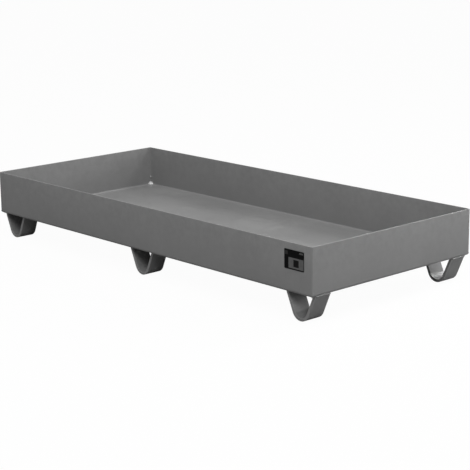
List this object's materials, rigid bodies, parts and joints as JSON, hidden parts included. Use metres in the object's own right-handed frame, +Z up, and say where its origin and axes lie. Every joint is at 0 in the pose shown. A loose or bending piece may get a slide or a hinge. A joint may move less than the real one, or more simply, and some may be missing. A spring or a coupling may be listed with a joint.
{
  "type": "spill containment tray",
  "caption": "Long shallow welded steel spill tray with plain upright walls, open on top, standing on rounded V-shaped flat-bar feet that leave room for lifting forks.",
  "frame": {"origin": "on the ground, under the middle of the tray", "axes": "+X along the length, towards the end that carries the blank plate on the front wall; +Y from the front wall, which carries the plate, to the rear wall; +Z up"},
  "size_m": [1.8, 0.8013, 0.267],
  "materials": {
    "tray_paint": "satin grey enamel on sheet steel",
    "foot_paint": "satin grey enamel on hot-rolled flat bar",
    "weld_paint": "satin grey enamel over rippled weld metal",
    "plate_black": "satin black with plain grey fields and no marking"
  },
  "bodies": {
    "root": {"blank_plate": "plate_black", "corner_seam_front_left": "weld_paint", "corner_seam_front_right": "weld_paint", "corner_seam_rear_left": "weld_paint", "corner_seam_rear_right": "weld_paint", "foot_front_left": "foot_paint", "foot_front_middle": "foot_paint", "foot_front_right": "foot_paint", "foot_rear_left": "foot_paint", "foot_rear_middle": "foot_paint", "foot_rear_right": "foot_paint", "tray_pan": "tray_paint", "weld_front_left_left_leg_inner": "weld_paint", "weld_front_left_left_leg_outer": "weld_paint", "weld_front_left_right_leg_inner": "weld_paint", "weld_front_left_right_leg_outer": "weld_paint", "weld_front_middle_left_leg_inner": "weld_paint", "weld_front_middle_left_leg_outer": "weld_paint", "weld_front_middle_right_leg_inner": "weld_paint", "weld_front_middle_right_leg_outer": "weld_paint", "weld_front_right_left_leg_inner": "weld_paint", "weld_front_right_left_leg_outer": "weld_paint", "weld_front_right_right_leg_inner": "weld_paint", "weld_front_right_right_leg_outer": "weld_paint", "weld_rear_left_left_leg_inner": "weld_paint", "weld_rear_left_left_leg_outer": "weld_paint", "weld_rear_left_right_leg_inner": "weld_paint", "weld_rear_left_right_leg_outer": "weld_paint", "weld_rear_middle_left_leg_inner": "weld_paint", "weld_rear_middle_left_leg_outer": "weld_paint", "weld_rear_middle_right_leg_inner": "weld_paint", "weld_rear_middle_right_leg_outer": "weld_paint", "weld_rear_right_left_leg_inner": "weld_paint", "weld_rear_right_left_leg_outer": "weld_paint", "weld_rear_right_right_leg_inner": "weld_paint", "weld_rear_right_right_leg_outer": "weld_paint"}
  },
  "joints": []
}
